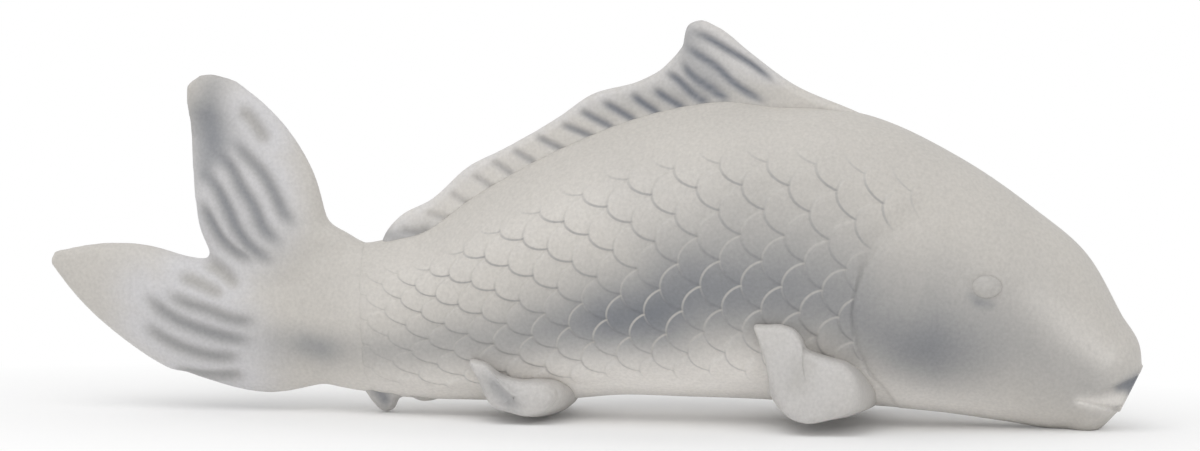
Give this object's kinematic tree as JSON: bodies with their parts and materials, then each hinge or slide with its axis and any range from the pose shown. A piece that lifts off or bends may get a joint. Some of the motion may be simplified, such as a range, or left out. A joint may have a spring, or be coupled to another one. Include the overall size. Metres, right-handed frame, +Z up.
{
  "type": "fish figurine",
  "caption": "Carp figurine in satin-etched cast glass, with an arched back, a raised tail and scales in relief.",
  "frame": {"origin": "on the surface that the figurine stands on, under the middle of its bounding box", "axes": "+X towards the head, +Y towards the fish's left side, +Z up"},
  "size_m": [0.3328, 0.073, 0.12],
  "materials": {
    "etched_glass": "satin-etched cast glass, faintly grey-lavender where it is thick"
  },
  "bodies": {
    "root": {"trunk": "etched_glass", "head": "etched_glass", "right_gill_cover": "etched_glass", "left_gill_cover": "etched_glass", "right_eye": "etched_glass", "left_eye": "etched_glass", "dorsal_fin": "etched_glass", "tail_upper_lobe": "etched_glass", "tail_lower_lobe": "etched_glass", "anal_fin": "etched_glass", "right_pectoral_fin": "etched_glass", "left_pectoral_fin": "etched_glass", "right_pelvic_fin": "etched_glass", "left_pelvic_fin": "etched_glass"}
  },
  "joints": []
}
